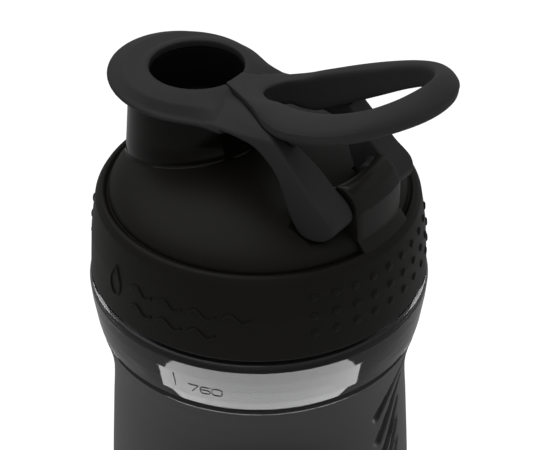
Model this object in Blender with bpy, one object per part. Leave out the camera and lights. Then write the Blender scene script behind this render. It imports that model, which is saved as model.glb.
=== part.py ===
"""Protein shaker bottle with a screw lid, a flip cap with a carry loop, and a loose wire whisk ball.

Frame: metres, +Z up, origin at the centre of the base. The spout is on the -Y side, the hinge on the +Y side.
Sizes below are millimetres. Heights of the lid and cap are counted from the crease between dome and rim.
"""
import math

import bmesh
import bpy
from mathutils import Vector

MM = 0.001
GAP = 0.3                # clearance between touching pieces

CREASE = 184.6           # height of the lid's crease above the base
SEGMENTS = 40            # facets round the large turned pieces

# Bottle
WALL = 2.4
NECK_RADIUS = 41.0
NECK_BORE = 38.8
NECK_TOP = -3.8
SHOULDER_TOP = -24.9
SHOULDER_RADIUS = 47.6
FOOT_PAD = 11.0          # flat centre of the base
FOOT_RECESS = 1.2
FOOT_INNER = 29.0
FOOT_OUTER = 34.0

# Screw thread
PITCH = 5.0
THREAD_TURNS = 1.5
THREAD_DEPTH = 1.5
THREAD_START = -16.5     # height of the lower end of the neck's thread
THREAD_FACETS = 34       # facets in one turn
THREAD_ANGLE = 0.06      # where the thread starts round the neck, in radians

# Lid
DOME_RADIUS = 41.0
DOME_HEIGHT = 12.3
SKIRT_BORE = 43.1
SKIRT_BOTTOM = -23.7
SPOUT_Y = -20.6
SPOUT_TOP = 26.2
SPOUT_RADIUS_TOP = 18.6
SPOUT_RADIUS_BASE = 20.2
SPOUT_BORE = 16.7

# Hinge
HINGE_Y = 31.0
HINGE_Z = 12.9
PEG_RADIUS = 2.6
ARM_INNER = 10.0
ARM_OUTER = 18.7         # outer face of a hinge arm at the hinge axis
ARM_FLARE = 0.048        # how fast the arms widen from the ring to the hinge
POCKET_RADIUS = 8.1      # clearance in the lid round an arm's end

# Flip cap
WELL_RADIUS = 12.9
WELL_TOP = 30.5
BRIM_RADIUS = 21.4
BRIM_Y = -24.6
BRIM_Z = 26.3
BRIM_TILT = math.radians(5.7)
PLUG_SPACE = 16.6        # radius of the room left for the plug under the ring

# Carry loop
LOOP_RISE = 0.28
LOOP_CURVE = 0.0016
LOOP_ROOT_TOP = 33.4     # height of the loop's top 5 mm behind the lid's axis
LOOP_THICKNESS = 7.0
LOOP_RIB = 4.2          # how far the opening's wall hangs below the loop near its root
LOOP_RIB_SLOPE = 0.18
LOOP_RIB_END = 41.0

# Whisk ball
BALL_RADIUS = 24.0
WIRE_RADIUS = 1.2
BALL_TURNS = 7
BALL_POLE = math.radians(12.5)   # half-angle of the open hole at each pole


# ---------------------------------------------------------------- helpers

def clear_scene():
    for obj in list(bpy.data.objects):
        bpy.data.objects.remove(obj, do_unlink=True)


def material(name, colour, roughness, metallic=0.0, alpha=1.0):
    mat = bpy.data.materials.new(name)
    mat.use_nodes = True
    shader = mat.node_tree.nodes["Principled BSDF"]
    shader.inputs["Base Color"].default_value = (*colour, 1.0)
    shader.inputs["Roughness"].default_value = roughness
    shader.inputs["Metallic"].default_value = metallic
    shader.inputs["Alpha"].default_value = alpha
    return mat


def add_object(name, bm, mat=None, sharp=30.0):
    """Turn a bmesh in millimetres into an object in metres, shaded smooth with sharp edges kept."""
    bmesh.ops.scale(bm, vec=(MM, MM, MM), verts=bm.verts)
    bmesh.ops.recalc_face_normals(bm, faces=bm.faces)
    mesh = bpy.data.meshes.new(name)
    bm.to_mesh(mesh)
    bm.free()
    mesh.shade_smooth()
    mesh.set_sharp_from_angle(angle=math.radians(sharp))
    if mat:
        mesh.materials.append(mat)
    obj = bpy.data.objects.new(name, mesh)
    bpy.context.scene.collection.objects.link(obj)
    return obj


def combine(obj, tool, operation):
    """Join or cut with a hidden helper object."""
    tool.hide_render = True
    tool.display_type = "WIRE"
    mod = obj.modifiers.new(f"{operation.lower()}_{tool.name}", "BOOLEAN")
    mod.operation = operation
    mod.object = tool
    mod.solver = "EXACT"


def set_origin(obj, origin, parent=None):
    """Move the origin to a point in millimetres without moving the mesh, and parent it to an empty."""
    shift = Vector(origin) * MM
    for vert in obj.data.vertices:
        vert.co -= shift
    obj.location = shift
    if parent:
        obj.parent = parent
        obj.location = shift - parent.location


def empty(name, location):
    obj = bpy.data.objects.new(name, None)
    obj.location = Vector(location) * MM
    bpy.context.scene.collection.objects.link(obj)
    return obj


def rounded(corners, steps=2, closed=True):
    """Outline with each corner (x, y, radius) replaced by an arc of that radius."""
    count = len(corners)
    path = []
    for i, (x, y, radius) in enumerate(corners):
        here = Vector((x, y))
        if radius <= 0 or (not closed and i in (0, count - 1)):
            path.append((x, y))
            continue
        before = (Vector(corners[i - 1][:2]) - here).normalized()
        after = (Vector(corners[(i + 1) % count][:2]) - here).normalized()
        half = before.angle(after) / 2
        centre = here + (before + after).normalized() * radius / math.sin(half)
        start = here + before * radius / math.tan(half) - centre
        end = here + after * radius / math.tan(half) - centre
        turn = start.angle_signed(end)
        for k in range(steps + 1):
            angle = -turn * k / steps
            path.append((centre.x + start.x * math.cos(angle) - start.y * math.sin(angle),
                         centre.y + start.x * math.sin(angle) + start.y * math.cos(angle)))
    return path


def turned(outline, segments, centre_y=0.0, closed=True):
    """Spin an outline of (radius, height) points about a vertical axis."""
    bm = bmesh.new()
    verts = [bm.verts.new((r, 0.0, z)) for r, z in outline]
    pairs = list(zip(verts, verts[1:]))
    if closed:
        pairs.append((verts[-1], verts[0]))
    edges = [bm.edges.new(pair) for pair in pairs]
    bmesh.ops.spin(bm, geom=verts + edges, cent=(0, 0, 0), axis=(0, 0, 1), angle=math.tau,
                   steps=segments, use_merge=True)
    bmesh.ops.remove_doubles(bm, verts=bm.verts, dist=0.0005)
    bmesh.ops.translate(bm, vec=(0, centre_y, 0), verts=bm.verts)
    return bm


def loft(sections, ring=False, split=False):
    """Skin a list of equal-length point loops, closed into a ring or capped. Twisted faces can be split."""
    bm = bmesh.new()
    loops = [[bm.verts.new(p) for p in section] for section in sections]
    spans = list(zip(loops, loops[1:]))
    if ring:
        spans.append((loops[-1], loops[0]))
    size = len(loops[0])
    for a, b in spans:
        for i in range(size):
            j = (i + 1) % size
            bm.faces.new((a[i], a[j], b[j], b[i]))
    if not ring:
        bm.faces.new(loops[0])
        bm.faces.new(loops[-1])
    if split:
        bmesh.ops.triangulate(bm, faces=bm.faces)
    return bm


def prism_x(outline, x_low, x_high):
    """Extrude an outline of (y, z) points along X."""
    return loft([[(x, y, z) for y, z in outline] for x in (x_low, x_high)])


def lift(outline, height=CREASE):
    return [(r, z + height) for r, z in outline]


def helix_ridge(root, crest, z_start, facets, width_root=2.4, width_crest=1.2):
    """Thread ridge whose crest fades out over its first and last facets."""
    count = int(THREAD_TURNS * facets)
    sections = []
    for k in range(count + 1):
        angle = THREAD_ANGLE + math.tau * k / facets
        fade = min(1.0, k / 4, (count - k) / 4)
        top = root + (crest - root) * (0.35 + 0.65 * fade)
        z = z_start + PITCH * k / facets
        half_root = width_root / 2
        half_crest = width_crest / 2
        corners = ((root, z - half_root), (top, z - half_crest), (top, z + half_crest), (root, z + half_root))
        sections.append([(r * math.cos(angle), r * math.sin(angle), h) for r, h in corners])
    return loft(sections)


# ---------------------------------------------------------------- bottle

def body_curve(offset):
    """Outer wall of the body from the base corner up to the groove, moved inwards by an offset."""
    wall = [(38.8, -178), (41.2, -160), (43.6, -140), (45.0, -121), (45.2, -106), (44.5, -90),
            (43.3, -71), (42.6, -60), (43.6, -54), (45.1, -45.2)]
    return [(r - offset, z) for r, z in wall]


def make_bottle(mat):
    outer = body_curve(0.0)
    inner = body_curve(WALL)
    base = -CREASE
    floor = base + 3.3
    foot = rounded([(FOOT_PAD, base, 0), (FOOT_PAD + 1.5, base + FOOT_RECESS, 0),
                    (FOOT_INNER - 1.5, base + FOOT_RECESS, 0), (FOOT_INNER, base, 0), (FOOT_OUTER, base, 0),
                    (37.8, base + 2.2, 2.2), (outer[0][0], outer[0][1], 0)], closed=False)
    groove = [(45.3, -43.0), (44.6, -42.1), (45.6, -41.3)]
    shoulder = rounded([(45.8, -40.4, 0), (46.5, -37.4, 5), (47.5, -30.5, 4), (SHOULDER_RADIUS, -26.6, 1.2),
                        (46.4, SHOULDER_TOP, 1), (NECK_RADIUS, SHOULDER_TOP, 0), (NECK_RADIUS, NECK_TOP, 0.8),
                        (NECK_BORE, NECK_TOP, 0.8), (NECK_BORE, -25.5, 3), (44.6, -29.5, 3),
                        (46.0 - WALL, -39, 0)], 1, closed=False)
    bottom = rounded([(inner[0][0], inner[0][1], 0), (35.4, floor + 0.6, 3), (30, floor, 0)], closed=False)
    outline = [(0.0, base)] + foot[:-1] + outer + groove + shoulder + inner[::-1][:-1] + bottom
    outline.append((0.0, floor + 0.5))
    bottle = add_object("bottle_shell", turned(lift(outline), SEGMENTS, closed=False), mat)
    ridge = helix_ridge(NECK_RADIUS - 0.6, NECK_RADIUS + THREAD_DEPTH, CREASE + THREAD_START, THREAD_FACETS)
    combine(bottle, add_object("neck_thread_tool", ridge), "UNION")
    return bottle


def make_whisk(mat):
    """Wire wound round a sphere from pole to pole, as one continuous strand."""
    centre = 3.8 + GAP + BALL_RADIUS + WIRE_RADIUS
    steps = BALL_TURNS * 16
    sides = 5
    path = []
    for k in range(steps + 1):
        polar = BALL_POLE + (math.pi - 2 * BALL_POLE) * k / steps
        around = math.tau * BALL_TURNS * k / steps
        path.append(Vector((BALL_RADIUS * math.sin(polar) * math.cos(around),
                            BALL_RADIUS * math.sin(polar) * math.sin(around),
                            centre - BALL_RADIUS * math.cos(polar))))
    sections = []
    for k, point in enumerate(path):
        along = (path[min(k + 1, steps)] - path[max(k - 1, 0)]).normalized()
        out = (point - Vector((0, 0, centre))).normalized()
        side = along.cross(out).normalized()
        out = side.cross(along)
        sections.append([point + WIRE_RADIUS * (math.cos(a) * out + math.sin(a) * side)
                         for a in (math.tau * i / sides for i in range(sides))])
    return add_object("whisk_ball", loft(sections), mat, sharp=80)


# ---------------------------------------------------------------- lid

def dome_height(radius, drop=0.0):
    return (DOME_HEIGHT - drop) * math.sqrt(max(0.0, 1 - (radius / (DOME_RADIUS - drop * 0.2)) ** 2))


def dome_curve(drop, last, steps=10):
    """Half-ellipsoid outline from the axis outwards, lowered by a wall thickness."""
    return [(last * k / steps, dome_height(last * k / steps, drop)) for k in range(steps + 1)]


def make_lid(mat):
    top = dome_curve(0.0, DOME_RADIUS)
    rim = rounded([(DOME_RADIUS, 0, 0), (42.2, 1.2, 0.6), (43.5, 1.2, 1.0), (44.5, -0.8, 2), (45.4, -6, 8),
                   (46.1, -11, 20), (46.9, SKIRT_BOTTOM, 0.5), (44.2, SKIRT_BOTTOM, 0.4),
                   (SKIRT_BORE, -21.5, 1), (SKIRT_BORE, -1.6, 0.5), (38.5, -1.6, 0)], 1, closed=False)
    under = [(38.3 * math.sin(a), -1.6 + 10.4 * math.cos(a)) for a in
             (math.radians(90 * k / 8) for k in range(7, -1, -1))]
    outline = top[:-1] + rim + under
    outline[0] = (0.0, DOME_HEIGHT)
    outline[-1] = (0.0, outline[-1][1])
    lid = add_object("lid_shell", turned(lift(outline), SEGMENTS, closed=False), mat)

    spout = [(0.0, -0.5), (SPOUT_RADIUS_BASE + 0.4, -0.5), (SPOUT_RADIUS_TOP, SPOUT_TOP - 0.8),
             (SPOUT_RADIUS_TOP - 0.8, SPOUT_TOP), (0.0, SPOUT_TOP)]
    combine(lid, add_object("spout_tool", turned(lift(spout), 44, SPOUT_Y, closed=False)), "UNION")
    block = [(29.0, 7.6), (31.6, 8.0), (31.6, 14.6), (32.6, 16.6), (34.4, 17.7), (36.4, 17.4), (38.4, 15.8),
             (39.6, 13.2), (40.0, 10), (40.2, 3.4), (43.0, 0.4), (43.0, -0.6), (38.0, 1.6), (30, 6.0)]
    half = ARM_INNER - GAP - 0.15
    combine(lid, add_object("block_tool", prism_x(lift(block), -half, half)), "UNION")
    ridge = helix_ridge(SKIRT_BORE + 0.6, SKIRT_BORE - THREAD_DEPTH, CREASE + THREAD_START - PITCH / 2,
                        THREAD_FACETS)
    combine(lid, add_object("lid_thread_tool", ridge), "UNION")

    bore = [(0.0, -6.0), (0.0, SPOUT_TOP + 3), (SPOUT_BORE, SPOUT_TOP + 3), (SPOUT_BORE, -6.0)]
    combine(lid, add_object("spout_bore_tool", turned(lift(bore), 40, SPOUT_Y, closed=False)), "DIFFERENCE")
    for side in (-1, 1):
        pocket = disc_x(POCKET_RADIUS, side * (ARM_INNER - GAP), side * (ARM_OUTER + 1.1), 32)
        combine(lid, add_object(f"arm_pocket_tool{side}", pocket), "DIFFERENCE")
        socket = disc_x(PEG_RADIUS + GAP, side * (ARM_INNER - 4.4), side * (ARM_INNER + 2), 20)
        combine(lid, add_object(f"peg_socket_tool{side}", socket), "DIFFERENCE")
    return lid


def disc_x(radius, x_a, x_b, facets):
    """Round bar along X on the hinge axis."""
    ring = [(HINGE_Y + radius * math.cos(a), CREASE + HINGE_Z + radius * math.sin(a))
            for a in (math.tau * k / facets for k in range(facets))]
    return prism_x(ring, min(x_a, x_b), max(x_a, x_b))


def make_lid_seal(mat):
    outline = rounded([(39.1, -3.5, 0.4), (42.6, -3.5, 0.4), (42.6, -1.9, 0.4), (39.1, -1.9, 0.4)], 1)
    return add_object("lid_seal_ring", turned(lift(outline), SEGMENTS), mat)


# ---------------------------------------------------------------- flip cap

def brim_radius(angle):
    """Distance from the well's axis to the edge of the tilted, forward-set brim."""
    offset = SPOUT_Y - BRIM_Y
    toward = -math.sin(angle)
    return offset * toward + math.sqrt(BRIM_RADIUS ** 2 - (offset * math.cos(angle)) ** 2)


def ring_sections(facets=44):
    """Sections of the cap's ring: a collar that slopes from the well's rim out to the thumb brim."""
    sections = []
    for k in range(facets):
        angle = math.tau * k / facets
        edge = max(brim_radius(angle), SPOUT_RADIUS_TOP + 2.2)
        edge_z = BRIM_Z - math.sin(BRIM_TILT) * (SPOUT_Y + edge * math.sin(angle) - BRIM_Y)
        edge_z = max(edge_z, BRIM_Z - 0.5)
        outline = [(WELL_RADIUS - 1, 25.0), (WELL_RADIUS - 1, WELL_TOP), (WELL_RADIUS + 2.5, WELL_TOP - 0.2),
                   ((WELL_RADIUS + edge) / 2 + 0.6, (WELL_TOP + edge_z) / 2 + 1.0),
                   (edge, edge_z), (edge - 0.6, edge_z - 1.5), (SPOUT_RADIUS_TOP + 0.9, 24.3)]
        sections.append([(r * math.cos(angle), SPOUT_Y + r * math.sin(angle), CREASE + z) for r, z in outline])
    return sections


def arm_outline(rear, top_drop, root_drop):
    """Side outline of a hinge arm. The rear scales back and the root's top and underside drop, side by side."""
    end = [(35.0, 16.0), (37.3, 14.2), (38.4, 11.6), (37.6, 9.0), (35.2, 6.6), (31.6, 5.5), (28.0, 6.0),
           (25.4, 8.6)]
    end = [(HINGE_Y + (y - HINGE_Y) * rear if y > HINGE_Y else y, z) for y, z in end]
    lower = [(23.2, 12.6), (21.0, 17.6), (18.2, 21.8 - 0.4 * root_drop), (15.0, 24.6 - 0.85 * root_drop),
             (11.0, 26.0 - root_drop), (4.0, 26.0 - 0.8 * root_drop), (-12.0, 25.0)]
    upper = [(-12.0, 29.0 - top_drop), (2.0, 29.4 - top_drop), (8.0, 29.9 - 0.9 * top_drop),
             (14.0, 30.4 - 0.6 * top_drop), (18.5, 30.0), (23.0, 26.0), (28.0, 21.2), (32.0, 17.6)]
    return end + lower + upper


def make_arm(side):
    """Hinge arm with a flat outer face that spreads towards the hinge."""
    inner = [(side * ARM_INNER, y, CREASE + z) for y, z in arm_outline(1.0, 0.0, 2.4)]
    outer = [(side * (ARM_OUTER + ARM_FLARE * (y - z - HINGE_Y + HINGE_Z)), y, CREASE + z)
             for y, z in arm_outline(0.76, 2.8, 0.0)]
    return loft([inner, outer], split=True)


def make_cap_frame(mat):
    frame = add_object("cap_frame", loft(ring_sections(), ring=True, split=True), mat)
    for side in (-1, 1):
        combine(frame, add_object(f"arm_tool{side}", make_arm(side)), "UNION")
        peg = disc_x(PEG_RADIUS, side * (ARM_INNER - 3.8), side * (ARM_INNER + 2), 20)
        combine(frame, add_object(f"peg_tool{side}", peg), "UNION")
    web = rounded([(-9.5, 27.8, 0), (3.4, 25.4, 0.5), (3.4, 30.3, 0.5), (-9.5, 30.2, 0)], 1)
    combine(frame, add_object("web_tool", prism_x(lift(web), -ARM_INNER - 1, ARM_INNER + 1)), "UNION")
    under = SPOUT_TOP + GAP + 0.1
    lip = SPOUT_RADIUS_TOP + GAP
    inside = [(0.0, 20.0), (lip + 0.6, 20.0), (lip + 0.2, under), (PLUG_SPACE, under), (PLUG_SPACE, 28.3),
              (WELL_RADIUS, 28.3), (WELL_RADIUS, WELL_TOP - 0.9), (WELL_RADIUS + 1.1, WELL_TOP + 0.3),
              (WELL_RADIUS + 1.1, 40.0), (0.0, 40.0)]
    combine(frame, add_object("cap_space_tool", turned(lift(inside), 40, SPOUT_Y, closed=False)), "DIFFERENCE")
    combine(frame, add_object("loop_seat_tool", loft(loop_sections(GAP), ring=True, split=True)), "DIFFERENCE")
    return frame


def loop_top(y):
    return LOOP_ROOT_TOP + LOOP_RISE * (y - 5) + LOOP_CURVE * (y - 5) ** 2


def loop_half():
    """Points along half the loop from the cap to the tip: inner x, inner y, outer x, outer y."""
    return [(0.0, 2.6, 0.0, -4.3), (3.4, 4.4, 8.8, 0.4), (6.2, 9.2, 13.0, 5.6), (9.0, 15.4, 16.1, 12.6),
            (11.5, 22.2, 19.2, 19.6), (13.3, 29.4, 21.4, 27.6), (14.1, 36.0, 21.9, 36.4),
            (12.8, 42.6, 19.6, 44.2), (9.2, 47.4, 14.3, 51.0), (4.8, 50.2, 7.4, 56.1), (0.0, 51.2, 0.0, 57.8)]


def loop_sections(grow=0.0):
    """Rounded bar sections round the whole loop, with one more between each pair of given points."""
    half = loop_half()
    ring = half + [(-a, b, -c, d) for a, b, c, d in half[-2:0:-1]]
    count = len(ring)
    sections = []
    for k in range(2 * count):
        i = k // 2
        near = [ring[(i + j) % count] for j in (-1, 0, 1, 2)]
        if k % 2:
            inner_x, inner_y, outer_x, outer_y = ((9 * (b + c) - a - d) / 16 for a, b, c, d in zip(*near))
        else:
            inner_x, inner_y, outer_x, outer_y = near[1]
        inner = Vector((inner_x, inner_y))
        outer = Vector((outer_x, outer_y))
        across = (outer - inner).normalized()
        inner -= across * grow
        outer += across * grow
        middle = (inner + outer) / 2
        top = loop_top(middle.y) + grow
        root = max(0.0, min(1.0, (9 - middle.y) / 9))
        thick = LOOP_THICKNESS - 3.7 * root + 2 * grow
        section = []
        rib = max(0.0, min(LOOP_RIB, LOOP_RIB_SLOPE * (LOOP_RIB_END - middle.y), 0.8 * (middle.y - 1)))
        for part, down, hang in ((0.0, 0.55, 0), (0.1, 0.16, 0), (0.4, 0.0, 0), (0.8, 0.06, 0), (1.0, 0.38, 0),
                                 (0.97, 0.66, 0), (0.72, 0.98, 0), (0.5, 1.0, 0), (0.36, 1.0, 1),
                                 (0.06, 0.97, 1)):
            point = inner.lerp(outer, part)
            if part in (0.5, 0.36):
                point += across * 1.5 * grow
            section.append((point.x, point.y, CREASE + top - thick * down - rib * hang))
        sections.append(section)
    return sections


def make_loop(mat):
    return add_object("carry_loop", loft(loop_sections(), ring=True), mat, sharp=60)


def make_plug(mat):
    outline = rounded([(0.0, 15.0, 0), (12.0, 15.0, 1.5), (12.6, 27.9, 0), (16.0, 27.9, 0.4),
                       (16.0, 26.4, 0.4),
                       (14.9, 25.6, 0), (14.9, 23.5, 0), (14.1, 23.3, 0), (14.1, 20.7, 0), (14.9, 20.5, 0),
                       (13.6, 13.0, 1.0), (0.0, 13.0, 0)], 1, closed=False)
    return add_object("spout_plug", turned(lift(outline), 36, SPOUT_Y, closed=False), mat)


def make_plug_seal(mat):
    outline = rounded([(14.4, 20.9, 0.3), (15.6, 20.9, 0.6), (16.4, 22.0, 0.5), (15.6, 23.1, 0.6),
                       (14.4, 23.1, 0.3)], 1)
    return add_object("plug_seal", turned(lift(outline), 36, SPOUT_Y), mat)


# ---------------------------------------------------------------- assembly

def main():
    clear_scene()
    smoke = material("smoke_clear", (0.035, 0.033, 0.032), 0.28, alpha=0.6)
    satin = material("satin_black", (0.012, 0.011, 0.010), 0.38)
    matte = material("matte_charcoal", (0.022, 0.022, 0.022), 0.6)
    soft = material("soft_charcoal", (0.020, 0.020, 0.020), 0.7)
    seal = material("grey_silicone", (0.10, 0.10, 0.10), 0.6)
    wire = material("steel_wire", (0.55, 0.55, 0.56), 0.25, metallic=1.0)

    lid_axis = empty("lid_axis", (0, 0, CREASE))
    hinge_axis = empty("hinge_axis", (0, HINGE_Y, CREASE + HINGE_Z))

    make_bottle(smoke)
    make_whisk(wire)
    for piece in (make_lid(satin), make_lid_seal(seal)):
        set_origin(piece, (0, 0, CREASE), lid_axis)
    for piece in (make_cap_frame(matte), make_loop(soft), make_plug(matte), make_plug_seal(seal)):
        set_origin(piece, (0, HINGE_Y, CREASE + HINGE_Z), hinge_axis)


main()
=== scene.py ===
import math

import bmesh
import bpy
import numpy as np
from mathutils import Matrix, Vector


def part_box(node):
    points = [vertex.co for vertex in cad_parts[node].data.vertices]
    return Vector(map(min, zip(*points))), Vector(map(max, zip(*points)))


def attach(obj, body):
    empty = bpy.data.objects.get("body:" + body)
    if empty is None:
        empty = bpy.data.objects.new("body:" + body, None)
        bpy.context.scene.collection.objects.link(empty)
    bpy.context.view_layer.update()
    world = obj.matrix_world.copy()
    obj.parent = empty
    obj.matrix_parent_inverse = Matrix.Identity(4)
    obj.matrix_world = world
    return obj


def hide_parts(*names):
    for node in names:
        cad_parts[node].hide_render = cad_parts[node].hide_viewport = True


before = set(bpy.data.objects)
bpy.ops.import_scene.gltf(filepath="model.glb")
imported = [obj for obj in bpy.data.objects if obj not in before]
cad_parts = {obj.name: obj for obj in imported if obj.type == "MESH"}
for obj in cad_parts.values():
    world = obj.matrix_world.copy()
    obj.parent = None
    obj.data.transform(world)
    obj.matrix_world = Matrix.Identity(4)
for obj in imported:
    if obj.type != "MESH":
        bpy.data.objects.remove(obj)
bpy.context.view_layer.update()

# Every size below is in millimetres. Heights of the lid and cap count from the crease between dome and rim,
# which stands 3.5 mm above the lower face of the lid's seal.
MM = 0.001
CREASE = round(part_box("lid_seal_ring")[0].z / MM + 3.5, 2)
SPOUT_Y = -20.6
HINGE_Y = 31.0
HINGE_Z = 12.9
SKIRT_BOTTOM = -23.7
DOME_RADIUS = 41.0
DOME_HEIGHT = 12.3
BODY_FRONT = 16.5          # azimuth of the bottle's own front, degrees from +X towards +Y
BAND_FOOT = -43.6          # where the frosted body gives way to the clear band
SLOT_COUNT = 7             # slanted grip slots in each fan
SLOT_DEPTH = 1.2
SPOUT_RADIUS = 20.2        # at the foot of the spout
SPOUT_BORE = 16.7
SPOUT_LIP = 26.2           # top of the spout
WELL_RADIUS = 12.95        # finger well in the cap
PEG_RADIUS = 2.6
PEG_SOCKET = 3.0
LOOP_THICK = 7.0           # depth of the carry loop's bar
ROOT_THIN = 3.7            # how much thinner the loop is at its root


# ---------------------------------------------------------------- mesh helpers

def rounded(corners, steps=5):
    """Open outline with each corner (x, y, radius) replaced by an arc."""
    path = []
    for i, (x, y, radius) in enumerate(corners):
        here = Vector((x, y))
        if radius <= 0 or i in (0, len(corners) - 1):
            path.append((x, y))
            continue
        before = (Vector(corners[i - 1][:2]) - here).normalized()
        after = (Vector(corners[i + 1][:2]) - here).normalized()
        half = before.angle(after) / 2
        centre = here + (before + after).normalized() * radius / math.sin(half)
        start = here + before * radius / math.tan(half) - centre
        end = here + after * radius / math.tan(half) - centre
        turn = start.angle_signed(end)
        for k in range(steps + 1):
            a = -turn * k / steps
            path.append((centre.x + start.x * math.cos(a) - start.y * math.sin(a),
                         centre.y + start.x * math.sin(a) + start.y * math.cos(a)))
    return path


def spline(points, per_span=6, closed=False):
    """Smooth curve of the given number of points per span through points of any dimension."""
    pts = [np.array(p, float) for p in points]
    n = len(pts)
    out = []
    spans = n if closed else n - 1
    for i in range(spans):
        b, c = pts[i], pts[(i + 1) % n]
        a = pts[i - 1] if (closed or i > 0) else 2 * b - c
        d = pts[(i + 2) % n] if (closed or i + 2 < n) else 2 * c - b
        for k in range(per_span):
            t = k / per_span
            out.append(0.5 * (2 * b + (c - a) * t + (2 * a - 5 * b + 4 * c - d) * t ** 2
                              + (3 * b - a - 3 * c + d) * t ** 3))
    if not closed:
        out.append(pts[-1])
    return [tuple(float(v) for v in p) for p in out]


def dense(outline, step):
    """Adds points so that no stretch of an outline is longer than step."""
    path = [outline[0]]
    for (r0, z0), (r1, z1) in zip(outline, outline[1:]):
        parts = max(1, math.ceil(math.hypot(r1 - r0, z1 - z0) / step))
        path += [(r0 + (r1 - r0) * k / parts, z0 + (z1 - z0) * k / parts) for k in range(1, parts + 1)]
    return path


def turned(outline, segments, centre_y=0.0, shape=None, closed=False):
    """Vertices and faces of an outline of (radius, height) points spun about a vertical axis.
    shape(radius, angle, height, index) may return another radius."""
    verts, rows = [], []
    for index, (r, z) in enumerate(outline):
        if r < 1e-6:
            rows.append([len(verts)] * segments)
            verts.append((0.0, centre_y, z))
            continue
        rows.append(list(range(len(verts), len(verts) + segments)))
        for k in range(segments):
            a = math.tau * k / segments
            q = shape(r, a, z, index) if shape else r
            verts.append((q * math.cos(a), centre_y + q * math.sin(a), z))
    pairs = list(zip(rows, rows[1:]))
    if closed:
        pairs.append((rows[-1], rows[0]))
    faces = []
    for low, high in pairs:
        for k in range(segments):
            j = (k + 1) % segments
            face = []
            for v in (low[k], low[j], high[j], high[k]):
                if v not in face:
                    face.append(v)
            if len(face) > 2:
                faces.append(face)
    return verts, faces


def loft(sections, ring=False):
    """Vertices and faces that skin equal-length closed sections, capped unless they make a ring."""
    size = len(sections[0])
    verts = [tuple(p) for s in sections for p in s]
    spans = len(sections) if ring else len(sections) - 1
    faces = []
    for s in range(spans):
        a, b = s * size, ((s + 1) % len(sections)) * size
        for i in range(size):
            j = (i + 1) % size
            faces.append((a + i, a + j, b + j, b + i))
    if not ring:
        faces.append(tuple(range(size)))
        faces.append(tuple(range(len(verts) - size, len(verts))))
    return verts, faces


def merged(*shapes):
    """Several (vertices, faces) shapes as one."""
    verts, faces = [], []
    for v, f in shapes:
        base = len(verts)
        verts += list(v)
        faces += [[i + base for i in face] for face in f]
    return verts, faces


def tube(path, radius, sides=10, closed=False):
    """Round strand along a path of points."""
    pts = [Vector(p) for p in path]
    n = len(pts)
    sections = []
    normal = None
    for i, p in enumerate(pts):
        a = pts[i - 1] if (closed or i) else p
        b = pts[(i + 1) % n] if (closed or i < n - 1) else p
        along = (b - a).normalized()
        if normal is None:
            normal = along.orthogonal().normalized()
        normal = (normal - along * normal.dot(along)).normalized()
        side = along.cross(normal)
        sections.append([p + radius * (math.cos(t) * normal + math.sin(t) * side)
                         for t in (math.tau * k / sides for k in range(sides))])
    return loft(sections, ring=closed)


def mesh_object(name, shape, sharp=None):
    """Object in metres from a shape in millimetres above the crease."""
    verts, faces = shape
    mesh = bpy.data.meshes.new(name)
    mesh.from_pydata([(x * MM, y * MM, (z + CREASE) * MM) for x, y, z in verts], [], faces)
    bm = bmesh.new()
    bm.from_mesh(mesh)
    bmesh.ops.recalc_face_normals(bm, faces=bm.faces)
    bm.to_mesh(mesh)
    bm.free()
    mesh.shade_smooth()
    if sharp:
        mesh.set_sharp_from_angle(angle=math.radians(sharp))
    obj = bpy.data.objects.new(name, mesh)
    bpy.context.scene.collection.objects.link(obj)
    return obj


def apply_modifiers(obj, sharp=None):
    """Replaces the object's mesh by its evaluated one."""
    graph = bpy.context.evaluated_depsgraph_get()
    mesh = bpy.data.meshes.new_from_object(obj.evaluated_get(graph))
    obj.modifiers.clear()
    old = obj.data
    obj.data = mesh
    bpy.data.meshes.remove(old)
    obj.data.shade_smooth()
    if sharp:
        obj.data.set_sharp_from_angle(angle=math.radians(sharp))


def combine(obj, shape, operation, sharp=None):
    """Cuts or joins with a throwaway shape."""
    tool = mesh_object("tool", shape)
    mod = obj.modifiers.new("combine", "BOOLEAN")
    mod.operation = operation
    mod.object = tool
    mod.solver = "EXACT"
    apply_modifiers(obj, sharp)
    bpy.data.objects.remove(tool)


def soften(obj, voxel, passes):
    """Melts overlapping closed shapes into one skin with rounded edges."""
    mod = obj.modifiers.new("melt", "REMESH")
    mod.mode = "VOXEL"
    mod.voxel_size = voxel * MM
    mod.use_smooth_shade = True
    mod = obj.modifiers.new("relax", "SMOOTH")
    mod.factor = 0.5
    mod.iterations = passes
    apply_modifiers(obj)


def finish_piece(obj, mat, body, slot, *nodes):
    obj.data.materials.clear()
    for m in (mat if isinstance(mat, (list, tuple)) else [mat]):
        obj.data.materials.append(m)
    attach(obj, body)
    if nodes:
        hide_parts(*nodes)
    return obj


# ---------------------------------------------------------------- materials

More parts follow.
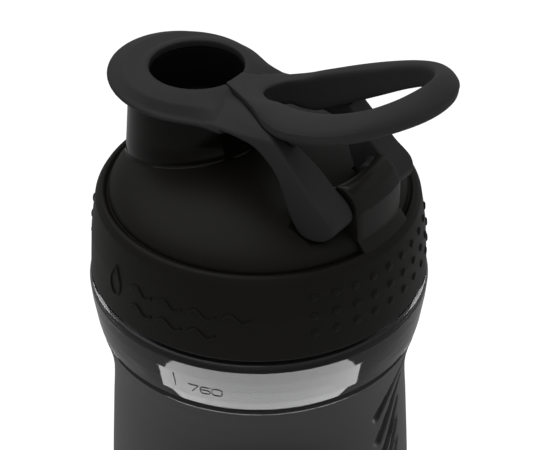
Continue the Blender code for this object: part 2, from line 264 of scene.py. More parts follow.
def plastic(name, colour, rough, grain=0.0, grain_size=0.5, specular=0.5, tint=0.12, rough_spread=0.06):
    """Moulded plastic: faint flow marks in colour and roughness, and a fine moulded grain."""
    mat = bpy.data.materials.new(name)
    mat.use_nodes = True
    nodes, links = mat.node_tree.nodes, mat.node_tree.links
    shader = nodes["Principled BSDF"]
    shader.inputs["Specular IOR Level"].default_value = specular
    coords = nodes.new("ShaderNodeTexCoord")
    flow = nodes.new("ShaderNodeTexNoise")
    flow.inputs["Scale"].default_value = 55.0
    flow.inputs["Detail"].default_value = 3.0
    links.new(coords.outputs["Object"], flow.inputs["Vector"])
    mix = nodes.new("ShaderNodeMix")
    mix.data_type = "RGBA"
    mix.inputs["A"].default_value = (*[c * (1 - tint) for c in colour], 1.0)
    mix.inputs["B"].default_value = (*[c * (1 + tint) for c in colour], 1.0)
    links.new(flow.outputs["Fac"], mix.inputs["Factor"])
    links.new(mix.outputs["Result"], shader.inputs["Base Color"])
    spread = nodes.new("ShaderNodeMapRange")
    spread.inputs["To Min"].default_value = max(0.02, rough - rough_spread)
    spread.inputs["To Max"].default_value = rough + rough_spread
    links.new(flow.outputs["Fac"], spread.inputs["Value"])
    links.new(spread.outputs["Result"], shader.inputs["Roughness"])
    if grain:
        fine = nodes.new("ShaderNodeTexNoise")
        fine.inputs["Scale"].default_value = 1000.0 / grain_size
        fine.inputs["Detail"].default_value = 2.0
        links.new(coords.outputs["Object"], fine.inputs["Vector"])
        bump = nodes.new("ShaderNodeBump")
        bump.inputs["Strength"].default_value = grain
        bump.inputs["Distance"].default_value = 0.00008
        links.new(fine.outputs["Fac"], bump.inputs["Height"])
        links.new(bump.outputs["Normal"], shader.inputs["Normal"])
    return mat


def smoke(name, colour, rough, transmission, grain=0.0, specular=0.6):
    """Smoke-tinted see-through plastic."""
    mat = plastic(name, colour, rough, grain, grain_size=0.6, specular=specular, tint=0.06,
                  rough_spread=0.02)
    shader = mat.node_tree.nodes["Principled BSDF"]
    shader.inputs["Transmission Weight"].default_value = transmission
    shader.inputs["IOR"].default_value = 1.5
    return mat


matte = plastic("cap_matte", (0.048, 0.048, 0.048), 0.50, 0.35, 0.35, specular=0.3)
soft = plastic("loop_soft", (0.055, 0.055, 0.055), 0.54, 0.4, 0.3, specular=0.3)
satin = plastic("lid_satin", (0.0125, 0.0114, 0.0095), 0.46, 0.2, 0.5, specular=0.24)
gloss = plastic("lid_gloss", (0.006, 0.0045, 0.0033), 0.14, specular=0.24, rough_spread=0.03)
block_gloss = plastic("block_gloss", (0.012, 0.0105, 0.009), 0.30, specular=0.4, rough_spread=0.03)
# Plug cup: charcoal darkened far below the cap's own charcoal, as painted shade for the inside of the deep
# finger well
well_painted_shade = plastic("plug_painted_shade", (0.006, 0.006, 0.006), 0.5, 0.3, 0.4, specular=0.2)
silicone = plastic("seal_silicone", (0.16, 0.16, 0.16), 0.55, 0.3, 0.5)
clear = smoke("bottle_clear", (0.13, 0.13, 0.138), 0.04, 0.88)
frosted = smoke("bottle_satin", (0.014, 0.0135, 0.013), 0.46, 0.15, 0.25, specular=0.16)
ink = plastic("mark_ink", (0.012, 0.012, 0.014), 0.5)


def wire_metal():
    """Polished stainless wire with faint drawing lines."""
    mat = plastic("whisk_steel", (0.55, 0.55, 0.56), 0.16, 0.15, 0.25, tint=0.05)
    mat.node_tree.nodes["Principled BSDF"].inputs["Metallic"].default_value = 1.0
    return mat


# ---------------------------------------------------------------- bottle

def slot_depth(angle, z):
    """How deep the slanted grip slots are cut at a point of the body: two mirrored fans."""
    side = math.degrees(angle) - BODY_FRONT
    side = (side + 180) % 360 - 180
    along = (abs(side) - 73.5) * 0.76
    depth = 0.0
    for k in range(SLOT_COUNT):
        x0, z0 = 13.5 - 1.2 * min(k, 3), -48.6 - 7.4 * k
        x1, z1 = -1.6 + 0.5 * k, -61.0 - 9.2 * k
        dx, dz = x1 - x0, z1 - z0
        t = max(0.0, min(1.0, ((along - x0) * dx + (z - z0) * dz) / (dx * dx + dz * dz)))
        away = math.hypot(along - x0 - t * dx, z - z0 - t * dz)
        width = 1.9 * (0.55 + 0.45 * t)
        if away < width:
            depth = max(depth, SLOT_DEPTH * (1 - (away / width) ** 4))
    return depth


def make_bottle():
    base = -CREASE
    body = [(38.8, -178), (40.1, -170), (41.2, -160), (42.5, -150), (43.6, -140), (44.5, -130),
            (45.0, -120), (45.2, -109), (45.0, -99), (44.5, -90), (43.9, -81), (43.3, -72), (42.7, -64),
            (42.6, -58), (43.2, -52), (44.3, -46.6), (44.9, -44.2)]
    wall = [(r, z) for r, z in spline(body, 9)]
    foot = rounded([(0, base, 0), (11, base, 0.5), (12.5, base + 1.2, 0.5), (27.5, base + 1.2, 0.5),
                    (29, base, 0.5), (34, base, 1.6), (37.6, base + 2.0, 3.0), (38.8, -178, 0)])
    band = rounded([(44.9, -44.2, 0), (45.3, -43.2, 0.5), (44.4, -42.5, 0.25), (44.4, -41.9, 0.25),
                    (45.75, -41.1, 0.5), (46.3, -38.4, 3), (47.3, -31.0, 6), (47.6, -27.0, 0.8),
                    (47.15, -25.3, 0.5), (46.4, -24.9, 0.4), (41.0, -24.9, 0.6), (41.0, -3.8, 0.9),
                    (38.8, -3.8, 0.9), (38.8, -25.5, 3), (44.4, -30.0, 3), (44.4, -36, 4),
                    (42.6, -44.2, 3), (42.0, -46.5, 0)])
    inner = [(r - 2.4, z) for r, z in wall][::-1]
    inner = [p for p in inner if p[1] < -46.6]
    floor = rounded([(36.4, -178, 0), (35.6, base + 3.6, 4), (28, base + 3.3, 8), (0, base + 3.5, 0)])
    outer_part = dense(foot, 4) + wall[1:]
    outer_end = len(outer_part)
    outline = outer_part + dense(band, 3)[1:] + inner + dense(floor, 4)[1:]

    def shape(r, a, z, index):
        return r - slot_depth(a, z) if index < outer_end and -135 < z < -45 else r

    verts, faces = turned(outline, 400, shape=shape)
    upper = [sum(verts[v][2] for v in face) / len(face) > BAND_FOOT for face in faces]
    lower_part = part_of(verts, [f for f, up in zip(faces, upper) if not up])
    upper_part = part_of(verts, [f for f, up in zip(faces, upper) if up])
    obj = mesh_object("bottle_body", lower_part, sharp=50)
    finish_piece(obj, frosted, "bottle", "smoke_clear", "bottle_shell")
    neck = mesh_object("bottle_band", upper_part, sharp=50)
    finish_piece(neck, clear, "bottle", "smoke_clear")
    ridge = mesh_object("bottle_thread", thread(40.9, 42.5, -16.5, 0.06))
    finish_piece(ridge, clear, "bottle", "smoke_clear")
    return obj, neck


def part_of(verts, faces):
    """The given faces with only the vertices they use."""
    kept = sorted({v for face in faces for v in face})
    place_of = {v: i for i, v in enumerate(kept)}
    return [verts[v] for v in kept], [[place_of[v] for v in face] for face in faces]


def thread(root, crest, z_start, angle0, turns=1.5, pitch=5.0):
    """Screw thread ridge with rounded flanks and faded ends."""
    facets = 96
    count = int(turns * facets)
    sections = []
    for k in range(count + 1):
        a = angle0 + math.tau * k / facets
        fade = min(1.0, k / 9, (count - k) / 9)
        top = root + (crest - root) * (0.1 + 0.9 * math.sin(fade * math.pi / 2))
        z = z_start + pitch * k / facets
        inside = root - math.copysign(0.5, crest - root)
        flank = root + (top - root) * 0.7
        corners = ((inside, -1.25), (root, -1.2), (flank, -0.8), (top, -0.45), (top, 0.45), (flank, 0.8),
                   (root, 1.2), (inside, 1.25))
        sections.append([(r * math.cos(a), r * math.sin(a), z + h) for r, h in corners])
    return loft(sections)


def on_wall(radius, azimuth, z):
    a = math.radians(azimuth)
    return radius * math.cos(a), radius * math.sin(a), z


def make_fill_mark():
    """Tick and number of the fill mark, as thin raised ink strokes on the band."""
    def radius(z):
        return 46.38 + (z + 37.5) * 0.135

    strokes = [[(8.7, -31.7), (9.1, -36.3)]]
    width, height, low = 3.4, 2.4, -36.6
    glyphs = {"7": [[(0, 1), (1, 1), (0.35, 0)]],
              "6": [[(1, 1), (0.2, 1), (0, 0.75), (0, 0.2), (0.2, 0), (0.8, 0), (1, 0.2), (1, 0.35),
                     (0.8, 0.55), (0, 0.55)]],
              "0": [[(0.2, 0), (0.8, 0), (1, 0.2), (1, 0.8), (0.8, 1), (0.2, 1), (0, 0.8), (0, 0.2),
                     (0.2, 0)]]}
    for i, digit in enumerate("760"):
        for line in glyphs[digit]:
            strokes.append([(14.0 + 4.0 * i + x * width, low + y * height) for x, y in line])
    shapes = []
    for line in strokes:
        path = []
        for (a0, z0), (a1, z1) in zip(line, line[1:]):
            path += [(a0 + (a1 - a0) * t / 4, z0 + (z1 - z0) * t / 4) for t in range(4)]
        path.append(line[-1])
        shapes.append(tube([on_wall(radius(z) + 0.06, a, z) for a, z in path], 0.17, 6))
    obj = mesh_object("fill_mark", merged(*shapes))
    return finish_piece(obj, ink, "bottle", "matte_charcoal")


def make_whisk():
    centre = sum(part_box("whisk_ball"), Vector()).z / 2 / MM - CREASE
    turns, radius = 7, 24.0
    steps = turns * 48
    path = []
    for k in range(steps + 1):
        t = k / steps
        polar = math.radians(12.5 + 155 * t)
        a = math.tau * turns * t
        path.append((radius * math.sin(polar) * math.cos(a), radius * math.sin(polar) * math.sin(a),
                     centre - radius * math.cos(polar)))
    obj = mesh_object("whisk_wire", tube(path, 1.2, 12))
    return finish_piece(obj, wire_metal(), "whisk", "steel_wire", "whisk_ball")


# ---------------------------------------------------------------- lid

def dome_height(radius):
    if radius < DOME_RADIUS:
        return DOME_HEIGHT * math.sqrt(1 - (radius / DOME_RADIUS) ** 2)
    return min(1.2, radius - DOME_RADIUS)


def make_lid():
    top = [(DOME_RADIUS * math.sin(a), DOME_HEIGHT * math.cos(a)) for a in
           (math.radians(89.0 * k / 36) for k in range(37))]
    rim = rounded([(top[-1][0], top[-1][1], 0), (DOME_RADIUS + 0.15, 0.1, 0.3), (42.2, 1.0, 0.9),
                   (43.3, 1.0, 1.3), (44.5, -0.9, 2.5), (45.4, -6, 8), (46.1, -11, 20), (46.95, -23.0, 0.3),
                   (46.8, SKIRT_BOTTOM, 0.4), (44.3, SKIRT_BOTTOM, 0.4), (43.1, -21.5, 0.8),
                   (43.1, -1.6, 0.6), (38.4, -1.6, 0)])
    under = [(38.3 * math.sin(a), -1.6 + 10.4 * math.cos(a)) for a in
             (math.radians(90 * k / 24) for k in range(23, -1, -1))]
    outline = top + dense(rim, 2.5)[1:] + under
    outline[0] = (0.0, DOME_HEIGHT)
    outline[-1] = (0.0, under[-1][1])
    obj = mesh_object("lid_dome", turned(outline, 256), sharp=40)
    bore = [(0.0, -6.0), (16.9, -6.0), (16.9, 30.0), (0.0, 30.0)]
    combine(obj, turned(bore, 96, SPOUT_Y), "DIFFERENCE", sharp=40)
    for side in (-1, 1):
        pocket = disc_x(8.1, side * 9.7, side * 19.9, 64)
        combine(obj, pocket, "DIFFERENCE", sharp=40)
    finish_piece(obj, satin, "lid", "satin_black", "lid_shell")
    ridge = mesh_object("lid_thread", thread(43.15, 41.6, -19.0, 0.06))
    finish_piece(ridge, satin, "lid", "satin_black")
    return obj


def disc_x(radius, x_a, x_b, facets, bevel=0.0):
    """Round bar along X on the hinge axis."""
    low, high = min(x_a, x_b), max(x_a, x_b)
    stations = [(low, radius), (high, radius)]
    if bevel:
        stations = [(low, radius - bevel), (low + bevel, radius), (high - bevel, radius),
                    (high, radius - bevel)]
    sections = [[(x, HINGE_Y + r * math.cos(a), HINGE_Z + r * math.sin(a)) for a in
                 (math.tau * k / facets for k in range(facets))] for x, r in stations]
    return loft(sections)


def spout_radius(z):
    """Outer radius of the drinking tube, which narrows upwards."""
    return 20.1 - 1.5 * (z - 8.0) / 18.2


def make_spout():
    """Glossy drinking tube with a rolled lip and a soft fillet onto the dome."""
    segments, reach = 192, 0.8
    shoulder = SPOUT_LIP - 1.4
    fillet = []
    for t in (math.radians(90 * k / 8) for k in range(9)):
        fillet.append((SPOUT_RADIUS + reach * (1 - math.sin(t)), reach * (1 - math.cos(t))))
    rings = []
    for offset, lift in [(SPOUT_RADIUS + reach, -1.0)] + fillet:
        ring = []
        for k in range(segments):
            a = math.tau * k / segments
            x, y = offset * math.cos(a), SPOUT_Y + offset * math.sin(a)
            ring.append((x, y, dome_height(math.hypot(x, y)) + lift - 0.05))
        rings.append(ring)
    for part in range(1, 9):
        ring = []
        for k, (x, y, foot) in enumerate(rings[9]):
            a = math.tau * k / segments
            z = foot + (shoulder - foot) * part / 8
            r = spout_radius(z) if part > 1 else (spout_radius(z) + SPOUT_RADIUS) / 2
            ring.append((r * math.cos(a), SPOUT_Y + r * math.sin(a), z))
        rings.append(ring)
    lip = rounded([(18.7, shoulder, 0), (18.6, SPOUT_LIP, 0.75), (SPOUT_BORE + 0.05, SPOUT_LIP, 0.75),
                   (SPOUT_BORE, 20, 0), (SPOUT_BORE, 5.0, 0)])
    for r, z in dense(lip, 2.0)[1:]:
        rings.append([(r * math.cos(a), SPOUT_Y + r * math.sin(a), z) for a in
                      (math.tau * k / segments for k in range(segments))])
    verts, faces = loft(rings, ring=False)
    obj = mesh_object("lid_spout", (verts, faces[:-2]), sharp=60)
    return finish_piece(obj, gloss, "lid", "satin_black")


def make_block():
    """Hinge block between the cap's arms: a short length of ring round the lid's axis, dished in front."""
    outline = rounded([(28.8, 4.8, 0), (29.8, 9.0, 3.0), (30.6, 13.6, 1.5), (32.0, 15.4, 0.35),
                       (33.4, 17.6, 1.0), (36.0, 18.3, 2.6), (38.9, 16.2, 2.6), (40.7, 12.6, 2.6),
                       (40.9, 3.6, 1.2), (43.2, 0.8, 0.8), (43.0, -0.8, 0), (36.0, -0.8, 0)], 6)
    stations = [(-9.65, 0.7), (-9.5, 0.28), (-9.1, 0.0)]
    stations += [(-9.1 + 18.2 * k / 16, 0.0) for k in range(1, 16)]
    stations += [(9.1, 0.0), (9.5, 0.28), (9.65, 0.7)]
    sections = []
    for x, inset in stations:
        middle = np.array([36.0, 8.0])
        section = []
        for r, z in outline:
            d = np.array([r, z]) - middle
            q, h = middle + d * (1 - inset / max(4.0, float(np.hypot(*d))))
            section.append((x, math.sqrt(float(q) ** 2 - x * x), float(h)))
        sections.append(section)
    obj = mesh_object("lid_hinge_block", loft(sections), sharp=50)
    for side in (-1, 1):
        combine(obj, disc_x(PEG_SOCKET, side * 5.8, side * 12.0, 40), "DIFFERENCE", sharp=50)
    return finish_piece(obj, block_gloss, "lid", "satin_black")


def skirt_radius(z):
    """Outer radius of the rim's side wall."""
    return float(np.interp(z, [-23.0, -11.0, -6.0, -0.9], [46.95, 46.1, 45.4, 44.5]))


def make_grip_dots():
    """Two panels of small raised grip dots on the skirt."""
    shapes = []
    for centre in (90.0, 270.0):
        for column in range(10):
            azimuth = centre + (column - 4.5) * 7.65
            for z in (-5.7, -11.0, -16.3):
                r = skirt_radius(z)
                a = math.radians(azimuth)
                out = Vector((math.cos(a), math.sin(a), 0.06)).normalized()
                side = Vector((-math.sin(a), math.cos(a), 0))
                up = out.cross(side)
                origin = Vector((r * math.cos(a), r * math.sin(a), z))
                verts, rows = [], []
                for radius, height in ((1.25, -0.5), (1.2, 0.0), (1.1, 0.2), (0.85, 0.36), (0.5, 0.43)):
                    rows.append(len(verts))
                    for k in range(14):
                        t = math.tau * k / 14
                        around = math.cos(t) * side + math.sin(t) * up
                        verts.append(tuple(origin + out * height + radius * around))
                faces = [[low + k, low + (k + 1) % 14, high + (k + 1) % 14, high + k]
                         for low, high in zip(rows, rows[1:]) for k in range(14)]
                faces += [list(range(rows[-1], rows[-1] + 14)), list(range(14))]
                shapes.append((verts, faces))
    obj = mesh_object("lid_grip_dots", merged(*shapes), sharp=70)
    return finish_piece(obj, satin, "lid", "satin_black")


def make_motif():
    """Generic raised motif on the skirt: a droplet ring and two rows of short waves."""
    shapes = []
    drop = []
    for k in range(28):
        t = math.tau * k / 28
        pinch = 1 - 0.55 * max(0.0, math.sin(t)) ** 2
        height = 4.0 * math.sin(t) + 1.1 * max(0.0, math.sin(t)) ** 3
        drop.append((-17.5 + 2.9 * math.cos(t) * pinch, -12.8 + height))
    shapes.append(tube([on_wall(skirt_radius(z) + 0.02, a, z) for a, z in drop], 0.42, 8, closed=True))
    for z, start, count in ((-10.6, -9.0, 4), (-16.4, -9.0, 3)):
        for i in range(count):
            wave = []
            for k in range(25):
                t = k / 24
                wave.append((start + i * 11.6 + 9.2 * t, z + 1.2 * math.sin(math.tau * t)))
            shapes.append(tube([on_wall(skirt_radius(h) + 0.02, a, h) for a, h in wave], 0.40, 8))
    obj = mesh_object("lid_motif", merged(*shapes))
    return finish_piece(obj, satin, "lid", "satin_black")


# ---------------------------------------------------------------- flip cap

def smooth_step(value, low, high):
    t = max(0.0, min(1.0, (value - low) / (high - low)))
    return t * t * (3 - 2 * t)


def brim_edge(angle):
    """Radius and height of the cap ring's outer edge round the well's axis."""
    offset = SPOUT_Y + 24.6
    toward = -math.sin(angle)
    edge = offset * toward + math.sqrt(21.4 ** 2 - (offset * math.cos(angle)) ** 2)
    edge = max(edge, 20.8)
    rise = math.asin(max(0.0, math.sin(angle)))
    shoulder = min(16.6 / max(0.2, math.cos(rise)), 26.5)
    shoulder = 16.6 + (shoulder - 16.6) * (1 - smooth_step(math.degrees(rise), 54, 82))
    edge = (edge ** 12 + shoulder ** 12) ** (1 / 12)
    y = SPOUT_Y + edge * math.sin(angle)
    height = 26.3 - math.sin(math.radians(5.7)) * (y + 24.6)
    return edge, max(height, 25.8)


def ring_shape(facets=160):
    sections = []
    for k in range(facets):
        a = math.tau * k / facets
        edge, edge_z = brim_edge(a)
        mid = (15.5 + edge) / 2
        outline = [(11.6, 24.9), (11.6, 30.4), (12.6, 30.75), (14.2, 30.75), (15.6, 30.3),
                   (mid, (30.3 + edge_z) / 2 + 0.75), (edge - 1.2, edge_z + 0.45),
                   (edge - 0.2, edge_z - 0.1), (edge, edge_z - 0.8), (edge - 0.7, edge_z - 1.6),
                   (mid + 1, min(edge_z - 2.0, 25.6)), (19.6, 24.3), (17.0, 24.5)]
        sections.append([(r * math.cos(a), SPOUT_Y + r * math.sin(a), z) for r, z in outline])
    return loft(sections, ring=True)


def arm_shape(side):
    """Hinge arm: top y, top z, bottom y, bottom z, inner x, ridge x, outer x, how far the outside drops and
    how much lower the inner face hangs."""
    stations = [(-14, 27.2, -14, 25.3, 3.0, 5.0, 15.0, 0.62, 0.0),
                (-9, 28.4, -9, 25.3, 3.0, 5.6, 16.0, 0.74, 0.0),
                (-4, 29.4, -4, 25.4, 4.4, 7.4, 16.3, 0.78, 1.6),
                (1, 30.2, 1, 25.9, 6.4, 9.2, 16.6, 0.80, 2.1),
                (6, 30.5, 6.4, 26.1, 8.8, 11.4, 17.0, 0.72, 2.3),
                (12, 30.7, 11.4, 25.9, 10.6, 14.0, 17.4, 0.46, 2.3),
                (16.8, 30.4, 15.2, 24.4, 11.6, 16.5, 17.9, 0.14, 2.0),
                (20.4, 28.4, 18.3, 21.8, 12.0, 17.2, 18.1, 0.09, 1.0),
                (24.2, 25.0, 21.1, 17.6, 11.0, 17.5, 18.3, 0.08, 0.3),
                (28.2, 21.3, 23.2, 12.9, 10.1, 17.8, 18.6, 0.08, 0.0),
                (32.0, 17.9, 25.2, 8.9, 10, 18.0, 18.8, 0.08, 0.0),
                (35.0, 15.9, 27.6, 6.2, 10, 18.1, 18.9, 0.08, 0.0),
                (36.9, 14.2, 30.8, 5.5, 10, 18.1, 18.9, 0.08, 0.0),
                (38.1, 11.8, 34.4, 6.3, 10, 17.7, 18.4, 0.10, 0.0),
                (37.9, 9.9, 36.6, 7.9, 10, 17.1, 17.8, 0.2, 0.0)]
    sections = []
    for ty, tz, by, bz, x_in, x_ridge, x_out, drop, hang in spline(stations, 5):
        oy, oz = ty + (by - ty) * drop, tz + (bz - tz) * drop
        my, mz = ty + (by - ty) * drop * 0.35, tz + (bz - tz) * drop * 0.35
        sections.append([(side * x_in, ty, tz), (side * (x_in + x_ridge) / 2, ty, tz),
                         (side * x_ridge, ty, tz),
                         (side * (x_ridge * 0.55 + x_out * 0.45), my, mz), (side * x_out, oy, oz),
                         (side * x_out, (oy + by) / 2, (oz + bz) / 2), (side * x_out, by, bz),
                         (side * (x_in + 2.5), by, bz - hang), (side * x_in, by, bz - hang)])
    return loft(sections)


def loop_top(y):
    return 33.4 + 0.28 * (y - 5) + 0.0016 * (y - 5) ** 2


def root_top(y):
    """Top of the loop's root, which runs down from the opening to the well's rim."""
    return 31.35 + 1.5 * max(0.0, min(1.0, (y + 9.0) / 15)) ** 2.4 + 0.2 * max(0.0, y - 6)


# Half of the loop in plan: the opening's edge (x, y), then the outer edge (x, y)
LOOP_HALF = [(0.0, 3.2, 0.0, -11.4), (2.4, 3.9, 2.2, -10.4), (4.5, 5.9, 4.6, -4.6), (5.8, 8.2, 7.5, 1.2),
             (6.6, 10.4, 10.2, 5.8), (7.7, 12.8, 12.9, 10.0), (9.0, 15.8, 15.6, 14.0),
             (11.5, 22.2, 19.2, 20.6), (13.3, 29.4, 21.4, 28.0), (14.1, 36.0, 21.9, 36.4),
             (12.8, 42.6, 19.6, 44.2), (9.2, 47.4, 14.3, 51.0), (4.8, 50.2, 7.4, 56.1),
             (0.0, 51.2, 0.0, 57.8)]

# Cross-section of the loop's bar: share of the width from the opening outwards, share of the depth, and
# share of the wall that hangs lower round the opening near the root
LOOP_BAR = [(0.0, 0.62, 0), (0.0, 0.26, 0), (0.015, 0.15, 0), (0.05, 0.07, 0), (0.11, 0.02, 0),
            (0.20, 0.0, 0), (0.32, 0.01, 0), (0.45, 0.045, 0), (0.58, 0.095, 0), (0.70, 0.16, 0),
            (0.82, 0.24, 0), (0.92, 0.33, 0), (0.985, 0.43, 0),
            (1.01, 0.45, 0), (1.01, 0.485, 0), (0.985, 0.50, 0), (0.985, 0.64, 0),
            (0.95, 0.79, 0), (0.84, 0.93, 0), (0.68, 1.0, 0), (0.48, 1.0, 0.1), (0.38, 1.0, 0.7),
            (0.28, 1.0, 1.0), (0.12, 0.98, 1.0), (0.03, 0.92, 0.95), (0.0, 0.84, 0.8)]


def loop_sections(grow=0.0, per_span=7):
    ring = LOOP_HALF + [(-a, b, -c, d) for a, b, c, d in LOOP_HALF[-2:0:-1]]
    sections = []
    for inner_x, inner_y, outer_x, outer_y in spline(ring, per_span, closed=True):
        inner, outer = Vector((inner_x, inner_y)), Vector((outer_x, outer_y))
        across = (outer - inner).normalized()
        inner -= across * grow
        outer += across * grow
        middle = (inner + outer) / 2
        root = max(0.0, min(1.0, (12 - middle.y) / 8))
        thick = LOOP_THICK - ROOT_THIN * root + 2 * grow
        rib = max(0.0, min(4.4, 0.18 * (41 - inner.y)))
        section = []
        for share, down, hang in LOOP_BAR:
            point = inner.lerp(outer, share)
            if 0.2 < share < 0.5 and hang:
                point += across * 1.5 * grow
            top = loop_top(middle.y) * (1 - root) + root_top(point.y) * root + grow
            if root and share > 0.5 and down < 0.5:
                down *= 1 - 0.75 * root
            z = top - thick * down - rib * hang
            from_spout = math.hypot(point.x, point.y - SPOUT_Y)
            if from_spout < 17.2:
                z = max(z, 28.5 - grow)
            elif from_spout < 20.6:
                z = max(z, 27.0 - grow)
            section.append((point.x, point.y, z))
        sections.append(section)
    return sections


def make_cap_frame():
    obj = mesh_object("cap_frame_skin", ring_shape())
    for side in (-1, 1):
        combine(obj, arm_shape(side), "UNION")
        combine(obj, disc_x(PEG_RADIUS, side * 6.2, side * 12.0, 40, 0.4), "UNION")
    web = [(-9.5, 27.6), (-1.9, 25.6), (-1.9, 29.6), (-9.5, 29.4)]
    combine(obj, loft([[(x, y, z) for y, z in web] for x in (-8.5, 8.5)]), "UNION")
    space = [(0.0, 20.0), (19.5, 20.0), (19.1, 26.6), (16.6, 26.6), (16.6, 28.3), (12.9, 28.3),
             (12.9, 40.0), (0.0, 40.0)]
    combine(obj, turned(space, 128, SPOUT_Y), "DIFFERENCE")
    combine(obj, loft(loop_sections(0.1), ring=True), "DIFFERENCE")
    soften(obj, 0.32, 8)
    return finish_piece(obj, matte, "flip_cap", "matte_charcoal", "cap_frame")


def make_loop():
    obj = mesh_object("loop_grip", loft(loop_sections(), ring=True))
    well = [(0.0, 20.0), (WELL_RADIUS, 20.0), (WELL_RADIUS, 40.0), (0.0, 40.0)]
    combine(obj, turned(well, 96, SPOUT_Y), "DIFFERENCE")
    soften(obj, 0.26, 3)
    return finish_piece(obj, soft, "flip_cap", "soft_charcoal", "carry_loop")


def make_plug():
    outline = rounded([(0.0, 15.0, 0), (12.0, 15.0, 2.0), (12.95, 28.2, 0.1), (13.6, 28.2, 0.2),
                       (16.0, 27.9, 0.4),
                       (16.0, 26.6, 0.4), (14.9, 25.6, 0.3), (14.9, 23.5, 0.2), (14.1, 23.3, 0.2),
                       (14.1, 20.7, 0.2), (14.9, 20.5, 0.2), (14.5, 13.0, 1.2), (0.0, 13.0, 0)])
    obj = mesh_object("plug_cup", turned(outline, 128, SPOUT_Y), sharp=50)
    # The plug's darkened material is painted shade for the well's inside
    return finish_piece(obj, well_painted_shade, "flip_cap", "matte_charcoal", "spout_plug")


def make_seals():
    ring = rounded([(14.4, 22.0, 0), (14.4, 20.9, 0.3), (15.6, 20.9, 0.6), (16.4, 22.0, 0.5),
                    (15.6, 23.1, 0.6),
                    (14.4, 23.1, 0.3), (14.4, 22.0, 0)])
    obj = mesh_object("plug_lip_seal", turned(ring[:-1], 128, SPOUT_Y, closed=True), sharp=60)
    finish_piece(obj, silicone, "flip_cap", "grey_silicone", "plug_seal")
    ring = rounded([(39.1, -2.7, 0), (39.1, -3.5, 0.4), (42.6, -3.5, 0.4), (42.6, -1.9, 0.4),
                    (39.1, -1.9, 0.4),
                    (39.1, -2.7, 0)])
    obj = mesh_object("neck_seal", turned(ring[:-1], 192, closed=True), sharp=60)
    finish_piece(obj, silicone, "lid_lift", "grey_silicone", "lid_seal_ring")


# ---------------------------------------------------------------- stage

def make_stage():
    size, rise = 1.6, 1.3
    bend = 0.5
    profile = [(size - bend, 0.0)]
    for t in (math.radians(90 * k / 16) for k in range(1, 17)):
        profile.append((size - bend + bend * math.sin(t), bend - bend * math.cos(t)))
    profile.append((size, rise))
    verts, rows = [(0.0, 0.0, 0.0)], []
    segments = 64
    for r, z in profile:
        rows.append(len(verts))
        for a in (math.tau * k / segments for k in range(segments)):
            verts.append((r * math.cos(a), r * math.sin(a), z))
    faces = [(0, rows[0] + k, rows[0] + (k + 1) % segments) for k in range(segments)]
    for low, high in zip(rows, rows[1:]):
        for k in range(segments):
            j = (k + 1) % segments
            faces.append((low + k, low + j, high + j, high + k))
    mesh = bpy.data.meshes.new("floor")
    mesh.from_pydata(verts, [], faces)
    mesh.shade_smooth()
    floor = bpy.data.objects.new("floor", mesh)
    bpy.context.scene.collection.objects.link(floor)
    mat = bpy.data.materials.new("floor_white")
    mat.use_nodes = True
    nodes, links = mat.node_tree.nodes, mat.node_tree.links
    shader = nodes["Principled BSDF"]
    shader.inputs["Base Color"].default_value = (0.40, 0.40, 0.40, 1.0)
    shader.inputs["Roughness"].default_value = 0.9
    shader.inputs["Specular IOR Level"].default_value = 0.1
    shader.inputs["Emission Color"].default_value = (1.0, 1.0, 1.0, 1.0)
    seen = nodes.new("ShaderNodeLightPath")
    glow = nodes.new("ShaderNodeMapRange")
    glow.inputs["To Min"].default_value = FLOOR_GLOW
    glow.inputs["To Max"].default_value = 0.93
    links.new(seen.outputs["Is Camera Ray"], glow.inputs["Value"])
    links.new(glow.outputs["Result"], shader.inputs["Emission Strength"])
    mesh.materials.append(mat)


def aim(obj, spot, target):
    obj.location = spot
    obj.rotation_euler = (Vector(target) - Vector(spot)).to_track_quat("-Z", "Y").to_euler()


def add_light(name, spot, target, width, height, watts):
    data = bpy.data.lights.new(name, "AREA")
    data.shape = "RECTANGLE"
    data.size = width
    data.size_y = height
    data.energy = watts
    obj = bpy.data.objects.new(name, data)
    bpy.context.scene.collection.objects.link(obj)
    aim(obj, spot, target)
    obj.visible_camera = False
    return obj


FLOOR_GLOW = 0.13
AZIMUTH = math.radians(37.7)     # of the camera, from +X towards +Y
CAMERA_REACH = 0.3733            # metres from the bottle's axis
CAMERA_RISE = 0.2554             # metres above the crease
CAMERA_LENS = 108.46
TO_CAMERA = Vector((math.cos(AZIMUTH), math.sin(AZIMUTH), 0))
TO_LEFT = Vector((math.sin(AZIMUTH), -math.cos(AZIMUTH), 0))


def place(toward, left, height):
    """Point given by its distance towards the camera, to its left and above the floor, in metres."""
    p = TO_CAMERA * toward + TO_LEFT * left
    return p.x, p.y, height


def light_only(light, name, objects):
    """Limits a light to the given objects."""
    shown = bpy.data.collections.new(name)
    for obj in objects:
        shown.objects.link(obj)
    light.light_linking.receiver_collection = shown


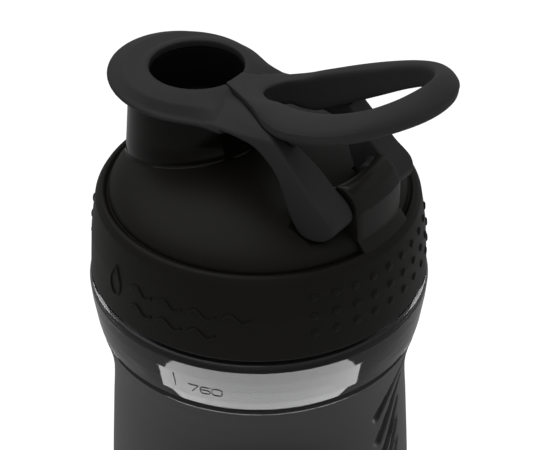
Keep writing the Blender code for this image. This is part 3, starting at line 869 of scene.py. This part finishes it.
def make_lights(body, band, mark):
    middle = (0, 0, 0.17)
    add_light("key_top", place(-0.25, 0.35, 1.2), middle, 1.3, 1.3, 2.3)
    for name, left, height, watts in (("rim_left", 0.85, 0.40, 4.0), ("rim_right", -0.80, 0.35, 4.0)):
        beside = add_light(name, place(-0.45, left, height), middle, 0.35, 0.8, watts)
        light_only(beside, name + "_shown", [body, band, mark])
    # A low card that faces up in front of the bottle: only the clear band mirrors it.
    card = add_light("front_card", place(0.142, 0.0, 0.012), place(0.142, 0.0, 1.0), 0.30, 0.185, 0.74)
    card.rotation_euler = (math.pi, 0, AZIMUTH + math.pi / 2)
    card.visible_diffuse = False
    light_only(card, "front_card_shown", [band, mark])
    world = bpy.data.worlds.new("studio")
    world.use_nodes = True
    nodes, links = world.node_tree.nodes, world.node_tree.links
    coords = nodes.new("ShaderNodeTexCoord")
    split = nodes.new("ShaderNodeSeparateXYZ")
    level = nodes.new("ShaderNodeMapRange")
    level.inputs["To Min"].default_value = 0.20
    level.inputs["To Max"].default_value = 0.36
    links.new(coords.outputs["Generated"], split.inputs["Vector"])
    links.new(split.outputs["Z"], level.inputs["Value"])
    links.new(level.outputs["Result"], nodes["Background"].inputs["Strength"])
    nodes["Background"].inputs["Color"].default_value = (1.0, 1.0, 1.0, 1.0)
    bpy.context.scene.world = world


def make_camera():
    data = bpy.data.cameras.new("camera")
    data.lens = CAMERA_LENS
    data.sensor_width = 36.0
    obj = bpy.data.objects.new("camera", data)
    bpy.context.scene.collection.objects.link(obj)
    pitch, yaw = math.radians(35.79), math.radians(0.69)
    obj.location = TO_CAMERA * CAMERA_REACH + Vector((0, 0, CREASE * MM + CAMERA_RISE))
    flat = -TO_CAMERA * math.cos(yaw) - TO_LEFT * math.sin(yaw)
    look = flat * math.cos(pitch) - Vector((0, 0, 1)) * math.sin(pitch)
    obj.rotation_euler = look.to_track_quat("-Z", "Y").to_euler()
    bpy.context.scene.camera = obj


make_camera()
make_stage()
make_lights(*make_bottle(), make_fill_mark())
make_whisk()
make_lid()
make_spout()
make_block()
make_grip_dots()
make_motif()
make_cap_frame()
make_loop()
make_plug()
make_seals()
bpy.context.scene.view_settings.view_transform = "Standard"
